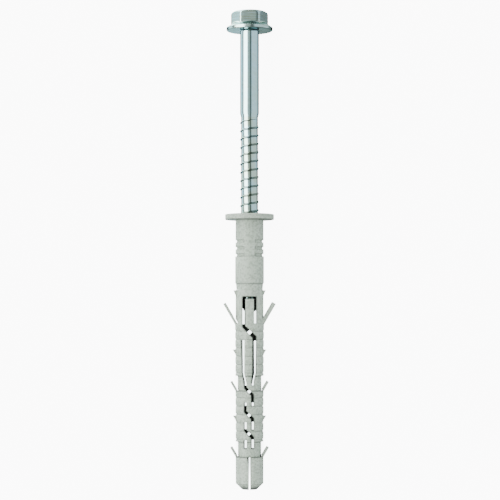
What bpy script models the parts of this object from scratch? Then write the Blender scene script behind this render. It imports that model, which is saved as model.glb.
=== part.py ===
"""Frame expansion plug with its flanged hexagon screw set partway in, lying on its side.

The long axis runs along Y with the screw head towards +Y and the plug's slit tip towards -Y.
The wings point to -X and +X. Z = 0 is the lowest line of the collar, which the plug lies on.
The plug's origin is the middle of the collar's top face and the screw's the middle of the
flange's underside. Stations count from there along the axis. All lengths are in metres.
"""
import math

import bmesh
import bpy
from mathutils import Vector

# Plug: lengths of its zones, in order from the collar to the tip
COLLAR_THICKNESS = 0.00205
SLEEVE_LENGTH = 0.01335
MIDDLE_LENGTH = 0.0098
WAIST_LENGTH = 0.0024
WINDOW_LENGTH = 0.0121
FIRST_RATCHET_LENGTH = 0.0186
FIRST_NECK_LENGTH = 0.0055
SECOND_RATCHET_LENGTH = 0.0181
SECOND_NECK_LENGTH = 0.0056
TIP_LENGTH = 0.0095
TIP_CHAMFER_LENGTH = 0.0022

# Plug: outer radii
COLLAR_RADIUS = 0.0089
COLLAR_EDGE = 0.0002
SLEEVE_RADIUS = 0.00506
MIDDLE_RADIUS = 0.0052
MIDDLE_EDGE = 0.0002
WAIST_TOP_RADIUS = 0.00492
WAIST_END_RADIUS = 0.00473
WINDOW_RADIUS = 0.00503
SHOULDER_RADIUS = 0.00524
FIRST_RATCHET_END_RADIUS = 0.0051
FIRST_NECK_RADIUS = 0.00424
SECOND_RATCHET_RADIUS = 0.00508
SECOND_RATCHET_END_RADIUS = 0.005
SECOND_NECK_RADIUS = 0.00417
TIP_RADIUS = 0.005
TIP_END_RADIUS = 0.0027
STEP_RUN = 0.0003

# Plug: shallow rings round the two ratchet zones
RING_WIDTH = 0.0011
RING_DEPTH = 0.00022
RING_COUNT = 6
FIRST_RINGS_START = 0.0026
FIRST_RINGS_END_GAP = 0.001
SECOND_RINGS_START = 0.0024
SECOND_RINGS_END_GAP = 0.0007

# Plug: grooves in the sleeve's two sides, left plain in front and behind
GROOVE_COUNT = 3
GROOVE_PITCH = 0.0025
GROOVE_START = 0.0078
GROOVE_WIDTH = 0.00105
GROOVE_FLOOR_WIDTH = 0.0006
GROOVE_DEPTH = 0.00046
PLAIN_STRIP_WIDTH = 0.0041

# Plug: the bore, wide for the screw's thread and narrow where the plug expands
ENTRY_CLEARANCE = 0.0003
POINT_CLEARANCE = 0.0006
ENTRY_CHAMFER = 0.0004
EXPANSION_BORE_RADIUS = 0.0024
TIP_BORE_RADIUS = 0.0012
BORE_TAPER_LENGTH = 0.0016

# Plug: the window and the slots of its front, repeated behind by half a turn
SLOT_OVERLAP = 0.0002
WINDOW_TOP = 0.0022
WINDOW_BAR_WIDTH = 0.0009
LEFT_LEG_OFFSET = 0.00205
LEFT_LEG_WIDTH = 0.00108
RIGHT_LEG_OFFSET = 0.002
RIGHT_LEG_WIDTH = 0.0008
RIGHT_LEG_END = 0.0002
FIRST_CROSSING = 0.0030
FIRST_CROSSING_WIDTH = 0.0013
LONG_SLOT_OFFSET = 0.0017
LONG_SLOT_WIDTH = 0.0013
LONG_SLOT_END_OFFSET = 0.00157
LONG_SLOT_END_WIDTH = 0.0012
NECK_SLOT_OFFSET = 0.00105
NECK_SLOT_WIDTH = 0.0008
OUTER_LONG_OFFSET = 0.0024
OUTER_LONG_WIDTH = 0.00115
OUTER_LONG_END_OFFSET = 0.00228
OUTER_LONG_END_WIDTH = 0.00072
OUTER_NECK_WIDTH = 0.00095
OUTER_LONG_START = 0.0058
SLANT_START = 0.001
RIGHT_SLANT_END = 0.002
LEFT_SLANT_END = 0.0032
INNER_SLOT_END = 0.0035
BACK_SLOT_SHIFT = 0.0002
BACK_SLOT_DROP = 0.0003
ZIGZAG_LEFT_OFFSET = 0.0015
ZIGZAG_RIGHT_OFFSET = 0.00103
ZIGZAG_LEFT_WIDTH = 0.0009
ZIGZAG_RIGHT_WIDTH = 0.00098
ZIGZAG_BEND_WIDTH = 0.00112
SECOND_CROSSING = 0.0003
THIRD_CROSSING_RISE = 0.00025
FOURTH_CROSSING_GAP = 0.0026
THIRD_SLOT_RISE = 0.0047
FOURTH_SLOT_RISE = 0.0044
ZIGZAG_LEG_LENGTH = 0.005
LOWER_SLOT_LENGTH = 0.0031
LOWER_SLOTS_END = 0.0025
TIP_SLIT_WIDTH = 0.0005
TIP_SLIT_MOUTH_WIDTH = 0.00108
TIP_SLIT_TAPER_LENGTH = 0.003

# Plug: wings that point back to the collar, and the small fins of its two sides
SIDES = {"left": -1, "right": 1}
WING_WIDTH = 0.0038
WING_ROOT_DEPTH = 0.0009
WING_LEAN = math.radians(30.0)
LONG_WING_REACH = 0.0095
LONG_WING_THICKNESS = {"left": 0.00097, "right": 0.0016}
LONG_WING_ROOT = 0.0002
WING_SLIT_DEPTH = 0.00088
WING_SLIT_WIDTH = 0.0003
WING_SLIT_LENGTH = 0.0028
NOTCH_DEPTH = 0.00044
NOTCH_REACH = 0.0003
NOTCH_HEIGHT = 0.0006
NOTCH_GAP = 0.00008
SHORT_WING_REACH = 0.0069
SHORT_WING_THICKNESS = {"left": 0.00072, "right": 0.00095}
FIN_WIDTH = 0.0036
FIN_REACH = 0.00082
FIRST_FIN_LENGTH = 0.0026
FIN_LENGTH = 0.0018
FIN_END_DEPTH = 0.0003
FIN_ROOT_DEPTH = 0.0006

# Screw
EXPOSED_LENGTH = 0.06675
SCREW_LENGTH = 0.104
SHANK_LENGTH = 0.0303
SHANK_RADIUS = 0.00345
SHANK_TAPER_LENGTH = 0.0012
SHANK_SET_IN = 0.0013
CORE_RADIUS = 0.0031
THREAD_RADIUS = 0.0035
THREAD_PITCH = 0.00302
THREAD_START = 0.0321
THREAD_BASE_WIDTH = 0.0008
THREAD_CREST_WIDTH = 0.00016
THREAD_RUNOUT_TURNS = 0.5
THREAD_END_GAP = 0.001
POINT_LENGTH = 0.004
POINT_FLAT_RADIUS = 0.0003
HEAD_HEIGHT = 0.0071
HEX_ACROSS_FLATS = 0.012
HEX_FOOT_HEIGHT = 0.00065
HEX_CROWN_RADIUS = 0.0051
HEX_CROWN_DROP = 0.0019
FLANGE_RADIUS = 0.00842
FLANGE_RIM_HEIGHT = 0.0013
FLANGE_RIM_ROUND = 0.0004
FLANGE_CONE_ANGLE = math.radians(35.0)
SEAT_RADIUS = 0.0052
SEAT_DEPTH = 0.0002

# How finely the round forms are divided
PLUG_SEGMENTS = 32
SCREW_SEGMENTS = 24
GROOVE_STEPS = 15
ARC_STEPS = 3

# How far a cutting guide reaches past the face it opens
CUT_MARGIN = 0.0003

# Places that follow from the sizes above
SLEEVE_AT = COLLAR_THICKNESS
MIDDLE_AT = SLEEVE_AT + SLEEVE_LENGTH
WAIST_AT = MIDDLE_AT + MIDDLE_LENGTH
WINDOW_AT = WAIST_AT + WAIST_LENGTH
FIRST_RATCHET_AT = WINDOW_AT + WINDOW_LENGTH
FIRST_NECK_AT = FIRST_RATCHET_AT + FIRST_RATCHET_LENGTH
SECOND_RATCHET_AT = FIRST_NECK_AT + FIRST_NECK_LENGTH
SECOND_NECK_AT = SECOND_RATCHET_AT + SECOND_RATCHET_LENGTH
TIP_AT = SECOND_NECK_AT + SECOND_NECK_LENGTH
TIP_CHAMFER_AT = TIP_AT + TIP_LENGTH
PLUG_LENGTH = TIP_CHAMFER_AT + TIP_CHAMFER_LENGTH
OVERALL_LENGTH = HEAD_HEIGHT + EXPOSED_LENGTH + PLUG_LENGTH
COLLAR_TOP_Y = PLUG_LENGTH - OVERALL_LENGTH / 2
SEAT_Y = COLLAR_TOP_Y + EXPOSED_LENGTH
FACET = math.pi / PLUG_SEGMENTS
AXIS_HEIGHT = max(COLLAR_RADIUS, FLANGE_RADIUS) * math.cos(FACET)
ENTRY_BORE_RADIUS = THREAD_RADIUS + ENTRY_CLEARANCE
ENTRY_BORE_END = SCREW_LENGTH - EXPOSED_LENGTH + POINT_CLEARANCE
HEX_CORNER_RADIUS = HEX_ACROSS_FLATS / 2 / math.cos(math.pi / 6)
OUTSIDE = COLLAR_RADIUS + CUT_MARGIN


def clear_scene():
    for old in list(bpy.data.objects):
        bpy.data.objects.remove(old)


def make_material(name, colour, metallic, roughness):
    material = bpy.data.materials.new(name)
    material.use_nodes = True
    shader = material.node_tree.nodes["Principled BSDF"]
    shader.inputs["Base Color"].default_value = (*colour, 1.0)
    shader.inputs["Metallic"].default_value = metallic
    shader.inputs["Roughness"].default_value = roughness
    return material


def make_object(name, bm, y=0.0, material=None):
    """Turn a bmesh into an object; without a material it is a hidden guide for a Boolean."""
    bmesh.ops.recalc_face_normals(bm, faces=bm.faces)
    mesh = bpy.data.meshes.new(name)
    bm.to_mesh(mesh)
    bm.free()
    mesh.shade_smooth()
    mesh.set_sharp_from_angle(angle=math.radians(35.0))
    made = bpy.data.objects.new(name, mesh)
    bpy.context.scene.collection.objects.link(made)
    if material:
        mesh.materials.append(material)
        made.location = (0.0, y, AXIS_HEIGHT)
    else:
        made.hide_render = True
        made.display_type = 'WIRE'
    return made


def combine(target, operation, guide):
    guide.parent = target
    boolean = target.modifiers.new(guide.name, 'BOOLEAN')
    boolean.operation = operation
    boolean.solver = 'EXACT'
    boolean.object = guide


def turned(profile, segments, first_angle=None, closed=False):
    """Spin (radius, station) points round the long axis; without an angle a facet faces down."""
    bm = bmesh.new()
    turn = math.pi / segments if first_angle is None else first_angle
    points = [bm.verts.new((r * math.cos(turn), -s, r * math.sin(turn))) for r, s in profile]
    edges = [bm.edges.new(pair) for pair in zip(points, points[1:])]
    if closed:
        edges.append(bm.edges.new((points[-1], points[0])))
    bmesh.ops.spin(bm, geom=points + edges, cent=(0.0, 0.0, 0.0), axis=(0.0, 1.0, 0.0),
                   angle=2.0 * math.pi, steps=segments, use_merge=True)
    bmesh.ops.remove_doubles(bm, verts=bm.verts, dist=1e-7)
    return bm


def part_turned(section, start, sweep):
    """Spin a closed (radius, station) section through part of a turn; angles from +X to +Z."""
    bm = bmesh.new()
    rings = []
    for i in range(GROOVE_STEPS + 1):
        angle = start + sweep * i / GROOVE_STEPS
        rings.append([bm.verts.new((r * math.cos(angle), -s, r * math.sin(angle)))
                      for r, s in section])
    bm.faces.new(rings[0])
    bm.faces.new(rings[-1])
    for ring, following in zip(rings, rings[1:]):
        for k in range(len(section)):
            n = (k + 1) % len(section)
            bm.faces.new((ring[k], ring[n], following[n], following[k]))
    return bm


def prism(outline, low_z, high_z):
    """Extrude an outline of (x, y) points from one height to another."""
    bm = bmesh.new()
    base = bm.faces.new([bm.verts.new((x, y, low_z)) for x, y in outline])
    raised = bmesh.ops.extrude_face_region(bm, geom=[base])
    top = [v for v in raised["geom"] if isinstance(v, bmesh.types.BMVert)]
    bmesh.ops.translate(bm, verts=top, vec=(0.0, 0.0, high_z - low_z))
    return bm


def ribbon(path):
    """Outline of a band that follows (x, station, width) points with mitred corners."""
    centres = [Vector((x, s)) for x, s, _ in path]
    runs = [(b - a).normalized() for a, b in zip(centres, centres[1:])]
    left = []
    right = []
    for i, centre in enumerate(centres):
        before = runs[max(i - 1, 0)]
        after = runs[min(i, len(runs) - 1)]
        along = (before + after).normalized()
        side = Vector((-along.y, along.x)) * (path[i][2] / 2 / along.dot(after))
        left.append(centre + side)
        right.append(centre - side)
    return [(p.x, -p.y) for p in left + right[::-1]]


def arc(centre_r, centre_s, radius, start, end):
    """Points of a quarter or part circle in the (radius, station) plane; angles in degrees."""
    for i in range(ARC_STEPS + 1):
        angle = math.radians(start + (end - start) * i / ARC_STEPS)
        yield centre_r + radius * math.cos(angle), centre_s + radius * math.sin(angle)


def ringed(start, length, first_ring, end_gap, start_radius, end_radius):
    """Outer profile of a ratchet zone: a slightly tapering body with shallow rings."""
    def radius_at(distance):
        return start_radius + (end_radius - start_radius) * distance / length
    pitch = (length - first_ring - end_gap) / (RING_COUNT - 1)
    yield start_radius, start
    for i in range(RING_COUNT):
        middle = first_ring + i * pitch
        yield radius_at(middle - RING_WIDTH / 2), start + middle - RING_WIDTH / 2
        yield radius_at(middle) - RING_DEPTH, start + middle
        yield radius_at(middle + RING_WIDTH / 2), start + middle + RING_WIDTH / 2
    yield end_radius, start + length


def plug_profile():
    """Closed section of the plug's wall: the outside from collar to tip, then back up the bore."""
    edge = COLLAR_EDGE
    return [
        *arc(COLLAR_RADIUS - edge, edge, edge, -90, 0),
        *arc(COLLAR_RADIUS - edge, COLLAR_THICKNESS - edge, edge, 0, 90),
        (SLEEVE_RADIUS, SLEEVE_AT),
        (SLEEVE_RADIUS, MIDDLE_AT - MIDDLE_EDGE),
        (MIDDLE_RADIUS, MIDDLE_AT),
        (MIDDLE_RADIUS, WAIST_AT - MIDDLE_EDGE),
        (WAIST_TOP_RADIUS, WAIST_AT),
        (WAIST_END_RADIUS, WINDOW_AT - STEP_RUN),
        (WINDOW_RADIUS, WINDOW_AT),
        (WINDOW_RADIUS, FIRST_RATCHET_AT - STEP_RUN),
        *ringed(FIRST_RATCHET_AT, FIRST_RATCHET_LENGTH, FIRST_RINGS_START,
                FIRST_RINGS_END_GAP, SHOULDER_RADIUS, FIRST_RATCHET_END_RADIUS),
        (FIRST_NECK_RADIUS, FIRST_NECK_AT + STEP_RUN),
        (FIRST_NECK_RADIUS, SECOND_RATCHET_AT),
        *ringed(SECOND_RATCHET_AT, SECOND_RATCHET_LENGTH, SECOND_RINGS_START,
                SECOND_RINGS_END_GAP, SECOND_RATCHET_RADIUS, SECOND_RATCHET_END_RADIUS),
        (SECOND_NECK_RADIUS, SECOND_NECK_AT + STEP_RUN),
        (SECOND_NECK_RADIUS, TIP_AT),
        (TIP_RADIUS, TIP_AT),
        (TIP_RADIUS, TIP_CHAMFER_AT),
        (TIP_END_RADIUS, PLUG_LENGTH),
        (TIP_BORE_RADIUS, PLUG_LENGTH),
        (TIP_BORE_RADIUS, TIP_AT),
        (EXPANSION_BORE_RADIUS, TIP_AT - BORE_TAPER_LENGTH),
        (EXPANSION_BORE_RADIUS, ENTRY_BORE_END + BORE_TAPER_LENGTH),
        (ENTRY_BORE_RADIUS, ENTRY_BORE_END),
        (ENTRY_BORE_RADIUS, ENTRY_CHAMFER),
        (ENTRY_BORE_RADIUS + ENTRY_CHAMFER, 0.0),
    ]


def zigzag(top, top_width, crossing, end, lower_width):
    """A slot that comes down on the left, crosses the front at 45 degrees and ends on the right."""
    return [
        (-ZIGZAG_LEFT_OFFSET, top, top_width),
        (-ZIGZAG_LEFT_OFFSET, crossing - ZIGZAG_LEFT_OFFSET, ZIGZAG_LEFT_WIDTH),
        (0.0, crossing, ZIGZAG_BEND_WIDTH),
        (ZIGZAG_RIGHT_OFFSET, crossing + ZIGZAG_RIGHT_OFFSET, lower_width),
        (ZIGZAG_RIGHT_OFFSET, end, lower_width),
    ]


def front_slots():
    """Centre lines and widths of every slot in the front wall, from the window to the tip."""
    bar = WINDOW_AT + WINDOW_TOP + WINDOW_BAR_WIDTH / 2
    window_end = FIRST_RATCHET_AT - RIGHT_LEG_END
    first_crossing = FIRST_RATCHET_AT + FIRST_CROSSING
    long_end = FIRST_NECK_AT - SLANT_START
    inner_end = FIRST_NECK_AT + INNER_SLOT_END
    second_crossing = SECOND_RATCHET_AT + SECOND_CROSSING
    third_crossing = (SECOND_RATCHET_AT + SECOND_NECK_AT) / 2 - THIRD_CROSSING_RISE
    fourth_crossing = SECOND_NECK_AT - FOURTH_CROSSING_GAP
    lower_end = SECOND_NECK_AT + LOWER_SLOTS_END
    window_and_long_slot = [
        (RIGHT_LEG_OFFSET, window_end, RIGHT_LEG_WIDTH),
        (RIGHT_LEG_OFFSET, bar, RIGHT_LEG_WIDTH),
        (-LEFT_LEG_OFFSET, bar, WINDOW_BAR_WIDTH),
        (-LEFT_LEG_OFFSET, bar + WINDOW_BAR_WIDTH, LEFT_LEG_WIDTH),
        (-LEFT_LEG_OFFSET, first_crossing - LEFT_LEG_OFFSET, LEFT_LEG_WIDTH),
        (0.0, first_crossing, FIRST_CROSSING_WIDTH),
        (LONG_SLOT_OFFSET, first_crossing + LONG_SLOT_OFFSET, LONG_SLOT_WIDTH),
        (LONG_SLOT_END_OFFSET, long_end, LONG_SLOT_END_WIDTH),
        (NECK_SLOT_OFFSET, FIRST_NECK_AT + RIGHT_SLANT_END, NECK_SLOT_WIDTH),
        (NECK_SLOT_OFFSET, inner_end, NECK_SLOT_WIDTH),
    ]
    outer_long_slot = [
        (-OUTER_LONG_OFFSET, FIRST_RATCHET_AT + OUTER_LONG_START, OUTER_LONG_WIDTH),
        (-OUTER_LONG_END_OFFSET, long_end, OUTER_LONG_END_WIDTH),
        *zigzag(FIRST_NECK_AT + LEFT_SLANT_END, OUTER_NECK_WIDTH, second_crossing,
                second_crossing + ZIGZAG_LEG_LENGTH, ZIGZAG_LEFT_WIDTH),
    ]
    return {
        "window": window_and_long_slot,
        "outer_long": outer_long_slot,
        "third": zigzag(third_crossing - THIRD_SLOT_RISE, ZIGZAG_LEFT_WIDTH, third_crossing,
                        third_crossing + ZIGZAG_LEG_LENGTH, ZIGZAG_RIGHT_WIDTH),
        "fourth": zigzag(fourth_crossing - FOURTH_SLOT_RISE, ZIGZAG_LEFT_WIDTH, fourth_crossing,
                         lower_end, ZIGZAG_RIGHT_WIDTH),
        "lower": [(-ZIGZAG_LEFT_OFFSET, lower_end - LOWER_SLOT_LENGTH, ZIGZAG_RIGHT_WIDTH),
                  (-ZIGZAG_LEFT_OFFSET, lower_end, ZIGZAG_RIGHT_WIDTH)],
        "tip": [(-(TIP_SLIT_MOUTH_WIDTH - TIP_SLIT_WIDTH) / 2, TIP_AT, TIP_SLIT_MOUTH_WIDTH),
                (0.0, TIP_AT + TIP_SLIT_TAPER_LENGTH, TIP_SLIT_WIDTH),
                (0.0, PLUG_LENGTH + CUT_MARGIN, TIP_SLIT_WIDTH)],
    }


def cut_slots(plug):
    """Each slot is cut a little past the axis from the front, and again half a turn round.

    The back slots lie slightly left of and below that half turn, and only the tip's do not.
    """
    for name, path in front_slots().items():
        outline = ribbon(path)
        front = prism(outline, -SLOT_OVERLAP, OUTSIDE)
        combine(plug, 'DIFFERENCE', make_object(name + "_front_cut", front))
        shift, drop = (0.0, 0.0) if name == "tip" else (BACK_SLOT_SHIFT, BACK_SLOT_DROP)
        behind = [(-x - shift, y - drop) for x, y in outline]
        back = prism(behind, -OUTSIDE, SLOT_OVERLAP)
        combine(plug, 'DIFFERENCE', make_object(name + "_back_cut", back))


def cut_grooves(plug):
    """Three grooves run round each side of the sleeve and stop at the plain strips."""
    floor = SLEEVE_RADIUS - GROOVE_DEPTH
    strip_angle = math.asin(PLAIN_STRIP_WIDTH / 2 / SLEEVE_RADIUS)
    sweep = math.pi - 2 * strip_angle
    for i in range(GROOVE_COUNT):
        middle = SLEEVE_AT + GROOVE_START + i * GROOVE_PITCH
        section = [(floor, middle - GROOVE_FLOOR_WIDTH / 2),
                   (SLEEVE_RADIUS, middle - GROOVE_WIDTH / 2),
                   (SLEEVE_RADIUS + CUT_MARGIN, middle - GROOVE_WIDTH / 2),
                   (SLEEVE_RADIUS + CUT_MARGIN, middle + GROOVE_WIDTH / 2),
                   (SLEEVE_RADIUS, middle + GROOVE_WIDTH / 2),
                   (floor, middle + GROOVE_FLOOR_WIDTH / 2)]
        for side, start in (("left", math.pi / 2), ("right", -math.pi / 2)):
            sector = part_turned(section, start + strip_angle, sweep)
            combine(plug, 'DIFFERENCE', make_object(f"groove_{i + 1}_{side}_cut", sector))


def leaning_bar(side, root, start, length, first, last):
    """Side view of a bar along a wing's lean; first and last are depths in from its outer face."""
    along = Vector((math.sin(WING_LEAN), -math.cos(WING_LEAN)))
    inward = Vector((-math.cos(WING_LEAN), -math.sin(WING_LEAN)))
    low = root + along * start
    high = root + along * length
    corners = [low + inward * first, high + inward * first,
               high + inward * last, low + inward * last]
    return [(side * p.x, -p.y) for p in corners]


def add_wings(plug):
    half = WING_WIDTH / 2
    long_root = FIRST_RATCHET_AT + LONG_WING_ROOT
    wings = {
        "long": (LONG_WING_REACH, SHOULDER_RADIUS, long_root, LONG_WING_THICKNESS),
        "second": (SHORT_WING_REACH, SECOND_RATCHET_RADIUS, SECOND_RATCHET_AT,
                   SHORT_WING_THICKNESS),
        "third": (SHORT_WING_REACH, TIP_RADIUS, TIP_AT, SHORT_WING_THICKNESS),
    }
    for name, (reach, radius, station, thickness) in wings.items():
        root = Vector((radius, station))
        length = (reach - radius) / math.sin(WING_LEAN)
        for side, sign in SIDES.items():
            outline = leaning_bar(sign, root, -WING_ROOT_DEPTH, length, 0.0, thickness[side])
            wing = prism(outline, -half, half)
            combine(plug, 'UNION', make_object(f"{name}_wing_{side}", wing))


def cut_wing_roots(plug):
    """A slit frees the left long wing from the wall, and a notch lets each short wing bend."""
    root = Vector((SHOULDER_RADIUS, FIRST_RATCHET_AT + LONG_WING_ROOT))
    outline = leaning_bar(SIDES["left"], root, 0.0, WING_SLIT_LENGTH, WING_SLIT_DEPTH,
                          WING_SLIT_DEPTH + WING_SLIT_WIDTH)
    slit = prism(outline, -OUTSIDE, OUTSIDE)
    combine(plug, 'DIFFERENCE', make_object("wing_slit_cut", slit))
    for name, neck, station in (("first", FIRST_NECK_RADIUS, SECOND_RATCHET_AT),
                                ("second", SECOND_NECK_RADIUS, TIP_AT)):
        for side, sign in SIDES.items():
            corners = [(neck - NOTCH_DEPTH, station - NOTCH_GAP),
                       (neck + NOTCH_REACH, station - NOTCH_GAP),
                       (neck + NOTCH_REACH, station - NOTCH_HEIGHT)]
            outline = [(sign * x, -s) for x, s in corners]
            notch = prism(outline, -OUTSIDE, OUTSIDE)
            combine(plug, 'DIFFERENCE', make_object(f"{name}_notch_{side}_cut", notch))


def add_fins(plug):
    half = FIN_WIDTH / 2
    fins = {
        "first": (WINDOW_AT, WINDOW_RADIUS, FIRST_FIN_LENGTH),
        "second": ((FIRST_RATCHET_AT + FIRST_NECK_AT) / 2, SHOULDER_RADIUS, FIN_LENGTH),
        "third": ((SECOND_RATCHET_AT + SECOND_NECK_AT) / 2, SECOND_RATCHET_RADIUS,
                  FIN_LENGTH),
    }
    for name, (station, radius, length) in fins.items():
        inner = radius - FIN_ROOT_DEPTH
        corners = [(inner, station), (radius + FIN_REACH, station),
                   (radius - FIN_END_DEPTH, station + length), (inner, station + length)]
        for side, sign in SIDES.items():
            outline = [(sign * x, -s) for x, s in corners]
            fin = prism(outline, -half, half)
            combine(plug, 'UNION', make_object(f"{name}_fin_{side}", fin))


def make_plug():
    """The moulded nylon plug: collar, grooved sleeve, window, slots, wings and slit tip."""
    nylon = make_material("grey_nylon", (0.52, 0.55, 0.5), 0.0, 0.5)
    section = turned(plug_profile(), PLUG_SEGMENTS, closed=True)
    plug = make_object("plug", section, COLLAR_TOP_Y, nylon)
    cut_grooves(plug)
    add_wings(plug)
    cut_wing_roots(plug)
    add_fins(plug)
    cut_slots(plug)


def core_radius_at(station):
    left = (SCREW_LENGTH - station) / POINT_LENGTH
    return min(CORE_RADIUS, POINT_FLAT_RADIUS + (CORE_RADIUS - POINT_FLAT_RADIUS) * left)


def thread_rows(at, steps):
    """Cross-sections of the right-hand ridge, which grows from one point and ends in another."""
    rows = []
    for i in range(steps + 1):
        station = THREAD_START + THREAD_PITCH * i / SCREW_SEGMENTS
        core = core_radius_at(station)
        if i in (0, steps):
            rows.append([at(i, core, station)] * 4)
            continue
        growth = min(1.0, i / SCREW_SEGMENTS / THREAD_RUNOUT_TURNS,
                     (steps - i) / SCREW_SEGMENTS / THREAD_RUNOUT_TURNS)
        crest = core + (THREAD_RADIUS - CORE_RADIUS) * growth
        foot = THREAD_BASE_WIDTH / 2 * growth
        tip = THREAD_CREST_WIDTH / 2 * growth
        rows.append([at(i, core_radius_at(station - foot), station - foot),
                     at(i, crest, station - tip),
                     at(i, crest, station + tip),
                     at(i, core_radius_at(station + foot), station + foot)])
    return rows


def threaded_rod():
    """Plain shank, then the core with its thread down to the blunt point, as one skin."""
    bm = bmesh.new()
    turns = SCREW_SEGMENTS

    def at(i, radius, station):
        angle = (2 * i + 1) * math.pi / turns
        return bm.verts.new((radius * math.cos(angle), -station, radius * math.sin(angle)))

    def skin(*corners):
        unique = list(dict.fromkeys(corners))
        if len(unique) > 2:
            bm.faces.new(unique)

    steps = int((SCREW_LENGTH - THREAD_END_GAP - THREAD_START) / THREAD_PITCH * turns)
    top = [at(i, SHANK_RADIUS, -SHANK_SET_IN) for i in range(turns)]
    shank_end = [at(i, SHANK_RADIUS, SHANK_LENGTH) for i in range(turns)]
    core_top = [at(i, CORE_RADIUS, SHANK_LENGTH + SHANK_TAPER_LENGTH) for i in range(turns)]
    point = [at(i, POINT_FLAT_RADIUS, SCREW_LENGTH) for i in range(turns)]
    rows = thread_rows(at, steps)
    skin(*top)
    skin(*point)
    for i in range(turns):
        n = (i + 1) % turns
        skin(top[i], top[n], shank_end[n], shank_end[i])
        skin(shank_end[i], shank_end[n], core_top[n], core_top[i])
    for i in range(steps):
        row, following = rows[i], rows[i + 1]
        for k in range(3):
            skin(row[k], row[k + 1], following[k + 1], following[k])
        n = (i + 1) % turns
        if i < turns:
            seam = [rows[0][0]] if n == 0 else []
            skin(core_top[i], core_top[n], *seam, following[0], row[0])
        if i + turns < steps:
            skin(row[3], following[3], rows[i + turns + 1][0], rows[i + turns][0])
        else:
            seam = [rows[-1][0]] if i + turns == steps else []
            skin(row[3], following[3], point[n], point[i % turns], *seam)
    return bm


def hex_head():
    """A hexagon with one flat facing down and one up, cut to a rounded crown."""
    sides = [(0.0, -HEAD_HEIGHT), (HEX_CORNER_RADIUS, -HEAD_HEIGHT),
             (HEX_CORNER_RADIUS, -HEX_FOOT_HEIGHT), (0.0, -HEX_FOOT_HEIGHT)]
    head = make_object("hex_block", turned(sides, 6, first_angle=0.0))
    crown_width = HEX_CORNER_RADIUS - HEX_CROWN_RADIUS
    outside = HEX_CORNER_RADIUS + CUT_MARGIN
    crown = [(0.0, -HEAD_HEIGHT)]
    for i in range(ARC_STEPS + 1):
        angle = math.pi / 2 * i / ARC_STEPS
        crown.append((HEX_CROWN_RADIUS + crown_width * math.sin(angle),
                      -HEAD_HEIGHT + HEX_CROWN_DROP * (1.0 - math.cos(angle))))
    crown += [(outside, CUT_MARGIN - HEAD_HEIGHT + HEX_CROWN_DROP), (outside, 0.0), (0.0, 0.0)]
    combine(head, 'INTERSECT', make_object("crown_form", turned(crown, PLUG_SEGMENTS)))
    return head


def flange_profile():
    """The forged flange: nearly flat seat, rounded rim and a cone up to the hexagon."""
    rise = math.tan(FLANGE_CONE_ANGLE)
    inner = HEX_ACROSS_FLATS / 2 - FLANGE_RIM_ROUND
    cone_top = FLANGE_RIM_HEIGHT + (FLANGE_RADIUS - FLANGE_RIM_ROUND - inner) * rise
    edge = FLANGE_RIM_ROUND
    return [
        (0.0, -cone_top),
        (inner, -cone_top),
        *arc(FLANGE_RADIUS - edge, edge - FLANGE_RIM_HEIGHT, edge, -90, 0),
        *arc(FLANGE_RADIUS - edge, -edge - SEAT_DEPTH, edge, 0, 90),
        (SEAT_RADIUS, 0.0),
        (0.0, 0.0),
    ]


def make_screw():
    """The forged and rolled steel screw: hexagon, flange, plain shank, thread and point."""
    steel = make_material("zinc_plated_steel", (0.66, 0.7, 0.72), 1.0, 0.25)
    screw = make_object("screw", threaded_rod(), SEAT_Y, steel)
    flange = make_object("flange_form", turned(flange_profile(), PLUG_SEGMENTS))
    combine(flange, 'UNION', hex_head())
    combine(screw, 'UNION', flange)


clear_scene()
make_plug()
make_screw()
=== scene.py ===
import math
import bmesh
import bpy
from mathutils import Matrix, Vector


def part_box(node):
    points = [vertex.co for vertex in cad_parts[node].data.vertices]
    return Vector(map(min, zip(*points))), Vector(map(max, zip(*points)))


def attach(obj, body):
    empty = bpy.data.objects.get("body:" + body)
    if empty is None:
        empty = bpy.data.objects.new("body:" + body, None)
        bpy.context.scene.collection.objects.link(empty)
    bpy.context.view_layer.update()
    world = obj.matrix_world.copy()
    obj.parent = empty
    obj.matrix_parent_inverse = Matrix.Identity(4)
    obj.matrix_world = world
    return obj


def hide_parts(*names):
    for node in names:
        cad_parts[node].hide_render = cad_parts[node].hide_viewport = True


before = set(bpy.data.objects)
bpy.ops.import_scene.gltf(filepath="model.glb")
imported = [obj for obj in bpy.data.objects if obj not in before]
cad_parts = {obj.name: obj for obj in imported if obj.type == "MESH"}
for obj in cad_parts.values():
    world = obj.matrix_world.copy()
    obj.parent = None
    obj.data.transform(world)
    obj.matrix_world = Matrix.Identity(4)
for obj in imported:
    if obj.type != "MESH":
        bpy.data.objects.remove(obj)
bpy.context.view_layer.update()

# The view. The camera looks straight down on the lying plug from above the lower part of its
# sleeve, so the head shows a little of its underside. One pixel is 0.362 mm at the plug's axis.
plug_low, plug_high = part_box("plug")
screw_low, screw_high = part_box("screw")
axis_height = plug_high.z / 2
collar_top = plug_high.y
pixel = 0.0003623
image_width = 500
distance = 0.587
aside = 0.00016
foot_below_collar = 95.8 * pixel
aim_below_collar = 35.8 * pixel
foot = Vector((aside, collar_top - foot_below_collar, axis_height + distance))
aim = Vector((aside, collar_top - aim_below_collar, axis_height))
sight = aim - foot
lens = bpy.data.cameras.new("view_lens")
lens.sensor_width = 36.0
lens.lens = lens.sensor_width * sight.length / (image_width * pixel)
lens.clip_start = 0.01
camera = bpy.data.objects.new("view_camera", lens)
camera.location = foot
camera.rotation_euler = sight.to_track_quat('-Z', 'Y').to_euler()
bpy.context.scene.collection.objects.link(camera)
bpy.context.scene.camera = camera


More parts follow.
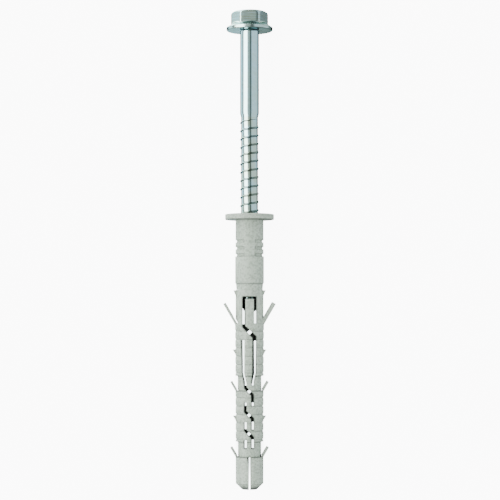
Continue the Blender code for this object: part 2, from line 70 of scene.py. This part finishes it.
# The screw's head and shank. One blank of steel wire, cold headed to a hexagon with a crowned top
# and a wide conical flange, then zinc plated bright with a blue passivation. Its faces are bare.
class Shade:
    """A socket of a node tree; arithmetic on it adds Math nodes."""

    def __init__(self, tree, socket=None):
        self.tree = tree
        self.socket = socket

    def node(self, kind, settings, inputs, output=0):
        """Add a node of a kind, set it up, then give its sockets their values or links."""
        made = self.tree.nodes.new("ShaderNode" + kind)
        for name, value in settings.items():
            if name == "stops":
                stops = made.color_ramp.elements
                while len(stops) < len(value):
                    stops.new(1.0)
                for stop, (place, colour) in zip(stops, value):
                    stop.position = place
                    stop.color = (*colour, 1.0)
            else:
                setattr(made, name, value)
        for key, value in inputs.items():
            if isinstance(value, Shade):
                self.tree.links.new(value.socket, made.inputs[key])
            else:
                made.inputs[key].default_value = value
        return Shade(self.tree, made.outputs[output])

    def maths(self, operation, *values):
        return self.node("Math", {"operation": operation}, dict(enumerate(values)))

    def mix(self, first, second):
        """The first colour where this value is 0 and the second where it is 1."""
        colours = {0: self}
        for key, colour in ((6, first), (7, second)):
            colours[key] = colour if isinstance(colour, Shade) else (*colour, 1.0)
        return self.node("Mix", {"data_type": 'RGBA'}, colours, 2)

    def between(self, low, high):
        """0 at low, 1 at high and even in between, held beyond both."""
        return self.node("MapRange", {}, {0: self, 1: low, 2: high})

    def split(self):
        """The three parts of a place or direction."""
        return [self.node("SeparateXYZ", {}, {0: self}, k) for k in range(3)]

    def grain(self, scale, detail=3.0, stretch=(1.0, 1.0, 1.0)):
        """Cloudy noise in the object's own metres, drawn out along an axis where stretch is low."""
        place = self.node("Mapping", {}, {"Vector": self, "Scale": stretch})
        return self.node("TexNoise", {}, {"Vector": place, "Scale": scale, "Detail": detail})

    def __add__(self, other):
        return self.maths('ADD', self, other)

    def __radd__(self, other):
        return self.maths('ADD', other, self)

    def __sub__(self, other):
        return self.maths('SUBTRACT', self, other)

    def __rsub__(self, other):
        return self.maths('SUBTRACT', other, self)

    def __mul__(self, other):
        return self.maths('MULTIPLY', self, other)

    def __rmul__(self, other):
        return self.maths('MULTIPLY', other, self)

    def __truediv__(self, other):
        return self.maths('DIVIDE', self, other)


def new_finish(name, **constants):
    """A material with its Principled shader's plain values set: (material, place, shader)."""
    material = bpy.data.materials.new(name)
    material.use_nodes = True
    shader = material.node_tree.nodes["Principled BSDF"]
    for key, value in constants.items():
        shader.inputs[key.replace("_", " ")].default_value = value
    return material, Shade(material.node_tree).node("TexCoord", {}, {}, "Object"), shader


def feed(shade, shader, **links):
    """Link what changes over a surface to the shader's sockets."""
    for key, value in links.items():
        shade.tree.links.new(value.socket, shader.inputs[key.replace("_", " ")])


def new_piece(name, bm, finish, body, sharp):
    """Make an object of a bmesh, give it its finish and let it ride on its CAD body."""
    bmesh.ops.recalc_face_normals(bm, faces=bm.faces)
    mesh = bpy.data.meshes.new(name)
    bm.to_mesh(mesh)
    bm.free()
    mesh.shade_smooth()
    mesh.set_sharp_from_angle(angle=math.radians(sharp))
    mesh.materials.append(finish)
    piece = bpy.data.objects.new(name, mesh)
    bpy.context.scene.collection.objects.link(piece)
    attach(piece, body)
    return piece


def ring(bm, angles, radii, y):
    """A loop of points round the axis, one for each angle and radius."""
    return [bm.verts.new((r * math.cos(a), y, axis_height + r * math.sin(a)))
            for a, r in zip(angles, radii)]


def join_rings(bm, first, second):
    """A closed strip of faces between two loops with as many points."""
    for k in range(len(first)):
        n = (k + 1) % len(first)
        bm.faces.new((first[k], first[n], second[n], second[k]))


def soft_min(a, b, width):
    """The smaller of two radii, rounded over where they meet."""
    share = min(max(0.5 + 0.5 * (b - a) / width, 0.0), 1.0)
    return b * (1.0 - share) + a * share - width * share * (1.0 - share)


head_height = 0.0071
seat = screw_high.y - head_height
across_flats = 0.012
corner_radius = across_flats / 2 / math.cos(math.pi / 6)
corner_cut = 0.00012
corner_blend = 0.0004
crown_blend = 0.00025
cone_blend = 0.00035
crown_flat = 0.0050
crown_drop = 0.0020
flange_radius = 0.00842
rim_height = 0.0013
rim_round = 0.0002
seat_round = 0.00055
cone_slope = math.tan(math.radians(35.0))
shank_radius = 0.00345
shank_end = 0.0303
taper_end = 0.0316
core_radius = 0.0031
ridge_height = 0.0004
fan = [-30, -24, -18, -12, -8, -5, -3, -1.8, -0.9, 0, 0.9, 1.8, 3, 5, 8, 12, 18, 24]
head_angles = [math.radians(60 * k + step) for k in range(6) for step in fan]


def hexagon_radius(angle):
    """Radius of the hexagon with its six corners a little rounded."""
    turned = (angle + math.pi / 6) % (math.pi / 3) - math.pi / 6
    flat = across_flats / 2 / math.cos(math.pi / 6 - abs(turned))
    return soft_min(flat, corner_radius - corner_cut, corner_blend)


def head_radii(height):
    """Radii round the head at a height above the seat: cone, hexagon and crown in one."""
    cone = flange_radius - rim_round - (height - rim_height) / cone_slope
    rise = max(height - (head_height - crown_drop), 0.0) / crown_drop
    swell = math.sqrt(max(1.0 - rise * rise, 0.0))
    crown = crown_flat + (corner_radius - crown_flat + 0.0002) * swell
    radii = []
    for angle in head_angles:
        block = soft_min(hexagon_radius(angle), crown, crown_blend)
        radii.append(-soft_min(-block, -cone, cone_blend))
    return radii


head = bmesh.new()
rings = [ring(head, head_angles, [radius] * len(head_angles), screw_high.y)
         for radius in (0.0012, 0.0030, 0.0044)]
crown_rows = [head_height - crown_drop * (k / 16) ** 2 for k in range(1, 17)]
flank_step = 0.00012
flank_rows = [head_height - crown_drop - flank_step * k for k in range(1, 40)]
for height in crown_rows + [row for row in flank_rows if row > rim_height]:
    rings.append(ring(head, head_angles, head_radii(height), seat + height))
for degrees in range(80, -91, -10):
    tilt = math.radians(degrees)
    size, middle = (rim_round, rim_height - rim_round) if degrees > 0 else (seat_round, seat_round)
    radius = flange_radius - size + size * math.cos(tilt)
    rings.append(ring(head, head_angles, [radius] * len(head_angles),
                      seat + middle + size * math.sin(tilt)))
for radius, station in ((0.0066, 0.0), (0.0050, 0.0), (0.0042, 0.0), (0.00385, 0.00005),
                        (0.00362, 0.0002), (shank_radius, 0.0005), (shank_radius, 0.004),
                        (shank_radius, 0.012), (shank_radius, 0.021), (shank_radius, 0.0300),
                        (0.00342, shank_end), (0.00334, 0.0306), (0.00320, 0.0311),
                        (0.00312, 0.0314), (0.00311, taper_end), (0.0024, 0.0319)):
    rings.append(ring(head, head_angles, [radius] * len(head_angles), seat - station))
for first, second in zip(rings, rings[1:]):
    join_rings(head, first, second)
head.faces.new(rings[0])
head.faces.new(rings[-1])

zinc, place, shader = new_finish("bright_zinc_plate", Metallic=1.0,
                                 Specular_Tint=(0.35, 0.42, 0.42, 1.0))
across, along, up = place.split()
above_seat = along.between(seat - 0.0001, seat + 0.0001)
cloud = place.grain(230.0)
bloom = place.grain(850.0, 4.0)
drawn = place.grain(1.0, 4.0, (7000.0, 260.0, 7000.0))
sheared = place.grain(1.0, 4.0, (240.0, 5200.0, 240.0))
blue = cloud.between(0.35, 0.65).mix((0.40, 0.64, 0.68), (0.44, 0.63, 0.59))
plate = (0.6 * bloom.between(0.35, 0.7)).mix(blue, (0.50, 0.72, 0.77))
bands = above_seat * sheared.between(0.35, 0.65)
banded = (0.85 * bands).mix(plate, (0.38, 0.46, 0.37))
off_axis = up - axis_height
radius = place.maths('SQRT', across * across + off_axis * off_axis)
threaded = 1.0 - along.between(seat - taper_end - 0.0002, seat - taper_end + 0.0002)
dulled = (0.8 * threaded * cloud.between(0.4, 0.6)).mix(banded, (0.46, 0.57, 0.46))
# Painted shade: the thread's flanks are coloured near black so each ridge shows as a dark line; the
# crest is mostly spared.
crest_radius = core_radius + ridge_height
crest = radius.between(crest_radius - 0.00005, crest_radius - 0.00001)
flank = threaded * radius.between(core_radius + 0.00001, core_radius + 0.00006)
flank = flank * (1.0 - 0.7 * crest)
flank_shaded = (0.96 * flank).mix(dulled, (0.026, 0.032, 0.022))
# Painted shade: ambient occlusion darkens the metal where parts meet, in corners and thread roots.
corner = 1.0 - place.node("AmbientOcclusion", {"samples": 8}, {"Distance": 0.0014}, 1)
corner_shaded = (0.8 * corner.between(0.25, 0.55)).mix(flank_shaded, (0.03, 0.042, 0.038))
# Painted shade: wider ambient occlusion turns the screw near black where it lies hidden inside the
# plug's bore.
deep = 1.0 - place.node("AmbientOcclusion", {"samples": 8}, {"Distance": 0.003}, 1)
shaded = (0.85 * deep.between(0.5, 0.6)).mix(corner_shaded, (0.03, 0.042, 0.034))
lines = above_seat * sheared + (1.0 - above_seat) * drawn + 1.5 * threaded * bloom
feed(place, shader, Base_Color=shaded, Roughness=0.05 + 0.08 * bloom + 0.15 * bands,
     Normal=place.node("Bump", {}, {"Strength": 0.16, "Distance": 0.00003, "Height": lines}))
head_piece = new_piece("hexagon_flange_and_shank", head, zinc, "screw", 50.0)
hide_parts("screw")


# The screw's thread and point. The thread is rolled up out of the same blank, so its ridge has
# rounded flanks and a thin crest; it starts below the plain shank and dies away at a blunt point.
core_top_at = 0.0312
thread_start = 0.0321
pitch = 0.00302
screw_length = seat - screw_low.y
point_length = 0.004
point_flat = 0.0003
turn_steps = 72
least_growth = 0.02
ridge = ((-0.00060, 0.0), (-0.00036, 0.07), (-0.00020, 0.32), (-0.00009, 0.93),
         (-0.00004, 1.0), (0.00004, 1.0), (0.00009, 0.93), (0.00020, 0.32),
         (0.00036, 0.07), (0.00060, 0.0))


def core_at(station):
    """Radius of the core, which narrows in a straight cone at the point."""
    left = (screw_length - station) / point_length
    return min(core_radius, point_flat + (core_radius - point_flat) * left)


thread = bmesh.new()
wound = int((screw_length - 0.001 - thread_start) / pitch * turn_steps)
rows = []
for i in range(wound + 1):
    station = thread_start + pitch * i / turn_steps
    angle = (2 * i + 1) * math.pi / turn_steps
    growth = max(min(1.0, 2.0 * i / turn_steps, 2.0 * (wound - i) / turn_steps), least_growth)
    row = []
    for offset, share in ridge:
        at = station + offset * growth
        radius = core_at(at) + ridge_height * share * growth
        row.append(thread.verts.new((radius * math.cos(angle), seat - at,
                                     axis_height + radius * math.sin(angle))))
    rows.append(row)
steps_round = [(2 * i + 1) * math.pi / turn_steps for i in range(turn_steps)]
core_top = ring(thread, steps_round, [core_radius] * turn_steps, seat - core_top_at)
point_end = ring(thread, steps_round, [point_flat] * turn_steps, screw_low.y)
thread.faces.new(core_top)
thread.faces.new(point_end)
for i in range(wound):
    n = (i + 1) % turn_steps
    above = core_top[i:i + 2] if n else [core_top[i % turn_steps], core_top[0]]
    for k in range(len(ridge) - 1):
        thread.faces.new((rows[i][k], rows[i][k + 1], rows[i + 1][k + 1], rows[i + 1][k]))
    if i < turn_steps:
        seam = [] if n else rows[0]
        thread.faces.new((*above, *seam, rows[i + 1][0], rows[i][0]))
    if i + turn_steps < wound:
        thread.faces.new((rows[i][-1], rows[i + 1][-1],
                          rows[i + turn_steps + 1][0], rows[i + turn_steps][0]))
    else:
        seam = rows[-1][::-1] if i + turn_steps == wound else []
        thread.faces.new((rows[i][-1], rows[i + 1][-1], point_end[n],
                          point_end[i % turn_steps], *seam))
thread_piece = new_piece("rolled_thread_and_point", thread, zinc, "screw", 50.0)
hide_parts("screw")


# The plug. One moulding of light grey nylon: a collar, a grooved sleeve, a window with a tongue,
# zigzag slots from front and back that cross each other, springy wings, small fins, a slit tip.
def spun(profile, steps):
    """Turn a closed (radius, station) outline once round the plug's axis."""
    bm = bmesh.new()
    angles = [2 * math.pi * k / steps for k in range(steps)]
    turned = [ring(bm, angles, [r] * steps, collar_top - s) for r, s in profile]
    for first, second in zip(turned, turned[1:] + turned[:1]):
        join_rings(bm, first, second)
    return bm


def add_prism(bm, outline, low, high):
    """Add a block with an outline of (x, station) corners between two heights off the axis."""
    floor = [bm.verts.new((x, collar_top - s, axis_height + low)) for x, s in outline]
    lid = [bm.verts.new((x, collar_top - s, axis_height + high)) for x, s in outline]
    bm.faces.new(floor)
    bm.faces.new(lid)
    join_rings(bm, floor, lid)


def band(path):
    """Outline of a slot that follows (x, station, width) points with mitred corners."""
    centres = [Vector((x, s)) for x, s, _ in path]
    runs = [(b - a).normalized() for a, b in zip(centres, centres[1:])]
    left = []
    right = []
    for i, centre in enumerate(centres):
        before = runs[max(i - 1, 0)]
        after = runs[min(i, len(runs) - 1)]
        along = (before + after).normalized()
        side = Vector((-along.y, along.x)) * (path[i][2] / 2 / along.dot(after))
        left.append(centre + side)
        right.append(centre - side)
    return [tuple(p) for p in left + right[::-1]]


def settle(piece):
    """Replace the piece's mesh by what its modifiers make of it."""
    bpy.context.view_layer.update()
    graph = bpy.context.evaluated_depsgraph_get()
    made = bpy.data.meshes.new_from_object(piece.evaluated_get(graph))
    piece.modifiers.clear()
    piece.data = made


def shape(piece, operation, bm):
    """Join a block to the piece, or cut it away, and keep the result as the piece's mesh."""
    bmesh.ops.recalc_face_normals(bm, faces=bm.faces)
    mesh = bpy.data.meshes.new("guide")
    bm.to_mesh(mesh)
    bm.free()
    guide = bpy.data.objects.new("guide", mesh)
    bpy.context.scene.collection.objects.link(guide)
    boolean = piece.modifiers.new("shape", 'BOOLEAN')
    boolean.operation = operation
    boolean.solver = 'EXACT'
    boolean.object = guide
    settle(piece)
    bpy.data.objects.remove(guide)


sleeve_at = 0.00205
middle_at = 0.0154
waist_at = 0.0252
window_at = 0.0276
ratchet_at = 0.0397
neck_at = 0.0583
second_at = 0.0638
second_neck_at = 0.0819
tip_at = 0.0875
chamfer_at = 0.0970
plug_length = 0.0992
collar_radius = axis_height
sleeve_radius = 0.00506
middle_radius = 0.0052
waist_radius = 0.00492
window_radius = 0.00503
ratchet_radius = 0.00524
neck_radius = 0.00424
second_radius = 0.00508
second_neck_radius = 0.00417
tip_radius = 0.005
ring_pitch = 0.003
ring_depth = 0.00022
first_ring = 0.0026
second_first_ring = 0.0024
bore_radius = 0.0038
narrow_radius = 0.0024
tip_bore = 0.0012
bore_end = 0.03785


def ringed(start, end, first, top_radius, end_radius):
    """Outline of a ratchet zone, which tapers a little and has six shallow round rings."""
    yield top_radius, start
    for i in range(6):
        middle = first + ring_pitch * i
        for offset, depth in ((-0.00055, 0.0), (-0.0003, 0.5), (-0.0001, 0.95),
                              (0.0001, 0.95), (0.0003, 0.5), (0.00055, 0.0)):
            at = middle + offset
            body = top_radius + (end_radius - top_radius) * at / (end - start)
            yield body - ring_depth * depth, start + at
    yield end_radius, end


outline = [
    (collar_radius - 0.0003, 0.0), (collar_radius - 0.0001, 0.00006),
    (collar_radius, 0.00025), (collar_radius, sleeve_at - 0.00025),
    (collar_radius - 0.0001, sleeve_at - 0.00006), (collar_radius - 0.0003, sleeve_at),
    (0.0054, sleeve_at), (0.00514, sleeve_at + 0.0001), (sleeve_radius, sleeve_at + 0.0004),
    (sleeve_radius, middle_at - 0.0002), (middle_radius, middle_at),
    (middle_radius, waist_at - 0.0002), (waist_radius, waist_at), (0.00473, window_at - 0.0003),
    (window_radius, window_at), (window_radius, ratchet_at - 0.0003),
    *ringed(ratchet_at, neck_at, first_ring, ratchet_radius, 0.0051),
    (neck_radius, neck_at + 0.0003), (neck_radius, second_at),
    *ringed(second_at, second_neck_at, second_first_ring, second_radius, 0.005),
    (second_neck_radius, second_neck_at + 0.0003), (second_neck_radius, tip_at),
    (tip_radius, tip_at), (tip_radius, chamfer_at), (0.0027, plug_length),
    (tip_bore, plug_length), (tip_bore, tip_at), (narrow_radius, tip_at - 0.0016),
    (narrow_radius, bore_end + 0.0016), (bore_radius, bore_end), (bore_radius, 0.0004),
    (bore_radius + 0.0004, 0.0),
]
nylon, place, shader = new_finish("grey_nylon", Specular_IOR_Level=0.3)
plug = new_piece("moulded_plug", spun(outline, 96), nylon, "plug", 40.0)
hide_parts("plug")

groove_section = ((0.0046, -0.0003), (sleeve_radius, -0.00052), (0.0055, -0.00052),
                  (0.0055, 0.00052), (sleeve_radius, 0.00052), (0.0046, 0.0003))
groove_at = sleeve_at + 0.0078
groove_pitch = 0.0025
plain_strip = 0.00205
strip = math.asin(plain_strip / sleeve_radius)
grooves = bmesh.new()
for i in range(3):
    middle = groove_at + groove_pitch * i
    for start in (math.pi / 2, -math.pi / 2):
        angles = [start + strip + (math.pi - 2 * strip) * k / 41 for k in range(42)]
        sweep = [[grooves.verts.new((r * math.cos(a), collar_top - middle - s,
                                     axis_height + r * math.sin(a)))
                  for r, s in groove_section] for a in angles]
        grooves.faces.new(sweep[0])
        grooves.faces.new(sweep[-1])
        for first, second in zip(sweep, sweep[1:]):
            join_rings(grooves, first, second)
shape(plug, 'DIFFERENCE', grooves)

lean = math.radians(30.0)
wing_half_width = 0.0019
fin_half_width = 0.0018
cut_reach = 0.0092


def leaning(sign, radius, station, start, length, first, last):
    """Corners of a bar that leans out along a wing; first and last are depths from its face."""
    along = Vector((math.sin(lean), -math.cos(lean)))
    inward = Vector((-math.cos(lean), -math.sin(lean)))
    root = Vector((radius, station))
    corners = [root + along * start + inward * first, root + along * length + inward * first,
               root + along * length + inward * last, root + along * start + inward * last]
    return [(sign * p.x, p.y) for p in corners]


springs = bmesh.new()
for reach, radius, station, left, right in (
        (0.0095, ratchet_radius, ratchet_at + 0.0002, 0.00097, 0.0016),
        (0.0069, second_radius, second_at, 0.00072, 0.00095),
        (0.0069, tip_radius, tip_at, 0.00072, 0.00095)):
    length = (reach - radius) / math.sin(lean)
    for sign, thickness in ((-1, left), (1, right)):
        add_prism(springs, leaning(sign, radius, station, -0.0009, length, 0.0, thickness),
                  -wing_half_width, wing_half_width)
for station, radius, length in ((window_at, window_radius, 0.0026),
                                ((ratchet_at + neck_at) / 2, ratchet_radius, 0.0018),
                                ((second_at + second_neck_at) / 2, second_radius, 0.0018)):
    corners = [(radius - 0.0006, station), (radius + 0.00082, station),
               (radius - 0.0003, station + length), (radius - 0.0006, station + length)]
    for sign in (-1, 1):
        add_prism(springs, [(sign * x, s) for x, s in corners], -fin_half_width, fin_half_width)
shape(plug, 'UNION', springs)

clefts = bmesh.new()
add_prism(clefts, leaning(-1, ratchet_radius, ratchet_at + 0.0002, 0.0, 0.0028, 0.00088, 0.00118),
          -cut_reach, cut_reach)
for neck, station in ((neck_radius, second_at), (second_neck_radius, tip_at)):
    for sign in (-1, 1):
        add_prism(clefts, [(sign * (neck - 0.00044), station - 0.00008),
                           (sign * (neck + 0.0003), station - 0.00008),
                           (sign * (neck + 0.0003), station - 0.0006)],
                  -cut_reach, cut_reach)
shape(plug, 'DIFFERENCE', clefts)


slot_left = 0.0015
slot_right = 0.00103
slot_width = 0.0009
bend_width = 0.00112
lower_slot = 0.00098


def zigzag(top, top_width, crossing, end, lower_width):
    """A slot that comes down on the left, crosses the front and ends on the right."""
    return [(-slot_left, top, top_width), (-slot_left, crossing - slot_left, slot_width),
            (0.0, crossing, bend_width), (slot_right, crossing + slot_right, lower_width),
            (slot_right, end, lower_width)]


bar = window_at + 0.00265
first_crossing = ratchet_at + 0.003
second_crossing = second_at + 0.0003
third_crossing = (second_at + second_neck_at) / 2 - 0.00025
fourth_crossing = second_neck_at - 0.0026
lower_end = second_neck_at + 0.0025
slots = [
    [(0.002, ratchet_at - 0.0002, 0.0008), (0.002, bar, 0.0008), (-0.00205, bar, 0.0009),
     (-0.00205, bar + 0.0009, 0.00108), (-0.00205, first_crossing - 0.00205, 0.00108),
     (0.0, first_crossing, 0.0013), (0.0017, first_crossing + 0.0017, 0.0013),
     (0.00157, neck_at - 0.001, 0.0012), (0.00105, neck_at + 0.002, 0.0008),
     (0.00105, neck_at + 0.0035, 0.0008)],
    [(-0.0024, ratchet_at + 0.0058, 0.00115), (-0.00228, neck_at - 0.001, 0.00072),
     *zigzag(neck_at + 0.0032, 0.00095, second_crossing, second_crossing + 0.005, slot_width)],
    zigzag(third_crossing - 0.0047, slot_width, third_crossing, third_crossing + 0.005, lower_slot),
    zigzag(fourth_crossing - 0.0044, slot_width, fourth_crossing, lower_end, lower_slot),
    [(-slot_left, lower_end - 0.0031, lower_slot), (-slot_left, lower_end, lower_slot)],
]
tip_slit = [(-0.00029, tip_at, 0.00108), (0.0, tip_at + 0.003, 0.0005),
            (0.0, plug_length + 0.0003, 0.0005)]
back_shift = 0.0002
back_drop = 0.0003
for sign, low, high, shift, drop in ((1, -0.0002, cut_reach, 0.0, 0.0),
                                     (-1, -cut_reach, 0.0002, back_shift, back_drop)):
    cuts = bmesh.new()
    for path in slots:
        add_prism(cuts, [(sign * x - shift, s + drop) for x, s in band(path)], low, high)
    add_prism(cuts, [(sign * x, s) for x, s in band(tip_slit)], low, high)
    shape(plug, 'DIFFERENCE', cuts)

sharp_angle = math.radians(40.0)
weld = plug.modifiers.new("weld", 'WELD')
weld.merge_threshold = 0.000004
edges = plug.modifiers.new("edge_rounding", 'BEVEL')
edges.width = 0.00006
edges.segments = 2
edges.limit_method = 'ANGLE'
edges.angle_limit = sharp_angle
edges.use_clamp_overlap = True
settle(plug)
plug.data.shade_smooth()
plug.data.set_sharp_from_angle(angle=sharp_angle)

across, along, up = place.split()
off_axis = up - axis_height
radius = place.maths('SQRT', across * across + off_axis * off_axis)
# Painted shade: the bore's inner walls, inside this radius, are coloured near black.
inside = 1.0 - radius.between(0.0033, 0.0042)
cloud = place.grain(120.0)
flow = place.grain(1.0, 3.0, (900.0, 120.0, 900.0))
speck = place.grain(1400.0, 3.0)
base = cloud.between(0.3, 0.7).mix((0.43, 0.525, 0.42), (0.47, 0.555, 0.455))
streaked = (0.4 * flow.between(0.35, 0.7)).mix(base, (0.54, 0.60, 0.525))
mottled = (0.9 * speck.between(0.44, 0.62)).mix(streaked, (0.31, 0.38, 0.30))
station = collar_top - along
# Painted shade: thin dark lines at the ring roots and along the steps, edges and collar, where
# shade falls.
shade_line = 0.0
for start, end, first in ((ratchet_at, neck_at, first_ring),
                          (second_at, second_neck_at, second_first_ring)):
    away = place.maths('PINGPONG', station - (start + first), ring_pitch / 2)
    zone = station.between(start + 0.001, start + 0.0012)
    zone = zone * (1.0 - station.between(end - 0.0002, end))
    shade_line = shade_line + zone * (1.0 - away.between(0.00006, 0.00022))
for at, strength in ((0.00004, 0.4), (0.0007, 0.4), (sleeve_at - 0.0001, 1.0),
                     (sleeve_at + 0.00012, 0.9), (middle_at - 0.0001, 0.7),
                     (waist_at + 0.00008, 1.3), (neck_at + 0.0001, 1.0),
                     (second_neck_at + 0.0001, 1.0), (second_at - 0.00005, 0.7),
                     (tip_at - 0.00005, 0.9)):
    away = place.maths('ABSOLUTE', station - at)
    shade_line = shade_line + strength * (1.0 - away.between(0.00008, 0.00022))
line_shaded = (0.55 * shade_line).mix(mottled, (0.11, 0.135, 0.11))
# Painted shade: ambient occlusion from inside darkens the moulding along its sharp edges, such as
# the slot rims.
rim = 1.0 - place.node("AmbientOcclusion", {"samples": 8, "inside": True}, {"Distance": 0.0004}, 1)
rim_shaded = (0.85 * rim.between(0.05, 0.4)).mix(line_shaded, (0.11, 0.135, 0.11))
# Painted shade: ambient occlusion darkens creases, groove roots and the steps under the collar.
crease = 1.0 - place.node("AmbientOcclusion", {"samples": 8}, {"Distance": 0.0005}, 1)
shaded = (0.8 * crease.between(0.1, 0.55)).mix(rim_shaded, (0.07, 0.085, 0.07))
# Painted shade: wider ambient occlusion darkens the slots and hollows to near black.
hollow = 1.0 - place.node("AmbientOcclusion", {"samples": 8}, {"Distance": 0.0025}, 1)
hollow_shaded = hollow.between(0.5, 0.85).mix(shaded, (0.03, 0.036, 0.03))
bore_shaded = (0.95 * inside).mix(hollow_shaded, (0.09, 0.10, 0.09))
pores = place.grain(5200.0, 2.0)
feed(place, shader, Base_Color=bore_shaded, Roughness=0.42 + 0.16 * cloud,
     Normal=place.node("Bump", {}, {"Strength": 0.25, "Distance": 0.00003, "Height": pores}))


# The studio. A white sheet lies under the object and glows evenly, and a painted shadow makes it
# a little darker below the plug. The room is a light tent: a wide white window on the left, grey
# sides and a dark strip above. One long lamp gives the metal its bright line, and a weak one lifts
# the right side.
sheet_half_size = 40.0
sheet = bmesh.new()
bmesh.ops.create_grid(sheet, x_segments=1, y_segments=1, size=sheet_half_size)
sheet_mesh = bpy.data.meshes.new("pale_floor")
sheet.to_mesh(sheet_mesh)
sheet.free()
floor = bpy.data.objects.new("pale_floor", sheet_mesh)
bpy.context.scene.collection.objects.link(floor)
paper, place, shader = new_finish("glowing_paper_with_painted_shadow", Base_Color=(0.9, 0.9, 0.9, 1.0), Roughness=0.9,
                                  Emission_Strength=9.0)
across, along = place.split()[:2]
shade_end = 0.008
# Painted shadow: the sheet's glow is dimmed in a soft strip below the plug.
plug_shadow = 1.0 - place.maths('ABSOLUTE', across).between(0.0028, 0.0058)
plug_shadow = plug_shadow * along.between(plug_low.y, plug_low.y + shade_end)
plug_shadow = plug_shadow * (1.0 - along.between(collar_top - shade_end, collar_top))
feed(place, shader, Emission_Color=plug_shadow.mix((1.0, 1.0, 1.0), (0.36, 0.40, 0.385)))
floor.data.materials.append(paper)
floor.visible_diffuse = False
floor.visible_glossy = False
floor.visible_shadow = False

room = bpy.data.worlds.new("light_tent")
room.use_nodes = True
tent = Shade(room.node_tree).node("TexCoord", {}, {}, "Generated")
sideways, lengthways, upward = tent.split()
turn = tent.maths('ARCTAN2', sideways, upward) / (2.0 * math.pi) + 0.5
black = (0.006, 0.006, 0.006)
dark = (0.035, 0.035, 0.035)
shade = (0.09, 0.095, 0.10)
grey = (0.15, 0.155, 0.145)
pale = (0.24, 0.255, 0.27)
light = (0.36, 0.44, 0.47)
white = (0.74, 0.74, 0.74)
walls = tent.node("ValToRGB", {"stops": [
    (0.00, light), (0.06, light), (0.07, black), (0.12, black), (0.15, light), (0.225, light),
    (0.238, black), (0.262, black), (0.278, white), (0.43, white), (0.445, grey), (0.50, grey),
    (0.52, dark), (0.55, dark), (0.58, pale), (0.79, pale), (0.81, shade), (0.86, shade),
    (0.88, black), (0.94, black), (0.95, grey),
]}, {0: turn})
foot_end = (0.0 - lengthways).between(0.55, 0.75)
head_end = lengthways.between(0.65, 0.85)
tops = (0.9 * foot_end + 0.3 * head_end).mix(walls, (0.02, 0.02, 0.02))
under = lengthways.between(0.3, 0.45) * (0.0 - upward).between(0.2, 0.35)
table = sideways.between(-0.05, 0.1).mix((2.6, 2.6, 2.6), (0.35, 0.37, 0.36))
surroundings = under.mix(tops, table)
background = room.node_tree.nodes["Background"]
room.node_tree.links.new(surroundings.socket, background.inputs["Color"])
background.inputs["Strength"].default_value = 5.0
bpy.context.scene.world = room



def hang_lamp(name, side, energy):
    """A long lamp beside the object, turned towards it."""
    light = bpy.data.lights.new(name, 'AREA')
    light.shape = 'RECTANGLE'
    light.size = 0.8
    light.size_y = 3.0
    light.energy = energy
    lamp = bpy.data.objects.new(name, light)
    height = 0.64
    lamp.location = (side, 0.0, height)
    lamp.rotation_euler = (0.0, math.atan2(side, height), 0.0)
    lamp.visible_camera = False
    bpy.context.scene.collection.objects.link(lamp)
    return lamp


hang_lamp("strip_light", -0.77, 55.0).visible_diffuse = False
hang_lamp("fill_light", 0.77, 9.0).visible_glossy = False

bpy.context.view_layer.update()
